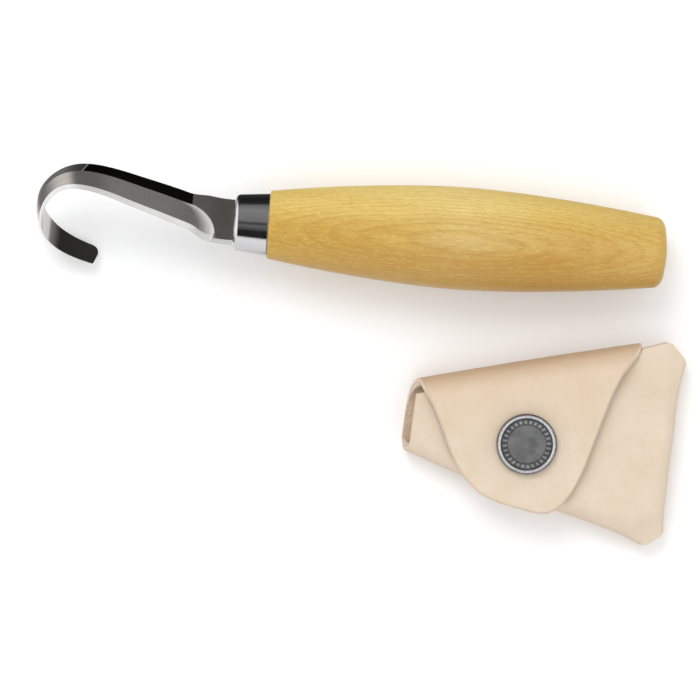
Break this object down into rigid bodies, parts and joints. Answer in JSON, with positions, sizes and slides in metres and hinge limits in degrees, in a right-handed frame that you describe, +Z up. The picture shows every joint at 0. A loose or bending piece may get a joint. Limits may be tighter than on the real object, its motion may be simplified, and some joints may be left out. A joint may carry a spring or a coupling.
{
  "type": "hook knife",
  "caption": "Hook knife with an oval birch handle, metal ferrule and hooked single-edge blade, beside its folded leather sheath with a snap-closed flap.",
  "frame": {"origin": "centre of the footprint of the whole object on the table", "axes": "+X along the table from the hook towards the butt, the longest extent; +Z up"},
  "size_m": [0.1695, 0.0996, 0.0266],
  "materials": {
    "birch": "oiled satin birch",
    "ferrule_metal": "polished",
    "blade_steel": "polished, with finely ground bevels",
    "adhesive": "set adhesive",
    "leather": "natural vegetable-tanned, smooth grain side out",
    "snap_metal": "antique nickel plate, satin",
    "spring_wire": "bright"
  },
  "bodies": {
    "knife": {"handle": "birch", "ferrule": "ferrule_metal", "blade": "blade_steel", "tang_filler": "adhesive"},
    "sheath": {"sheath_body": "leather", "snap_stud": "snap_metal", "snap_post": "snap_metal"},
    "flap": {"sheath_flap": "leather", "snap_cap": "snap_metal", "snap_socket": "snap_metal", "snap_spring": "spring_wire"}
  },
  "joints": [
    {"name": "sheath_slide", "type": "slide", "parent": "knife", "child": "sheath", "axis": [0, -1, 0], "range_m": [0, 0.09]},
    {"name": "flap_hinge", "type": "hinge", "parent": "sheath", "child": "flap", "pos_m": [0.01404, -0.00517, 0.0077], "axis": [-0.9878, -0.1556, 0], "range_deg": [0, 115]}
  ]
}
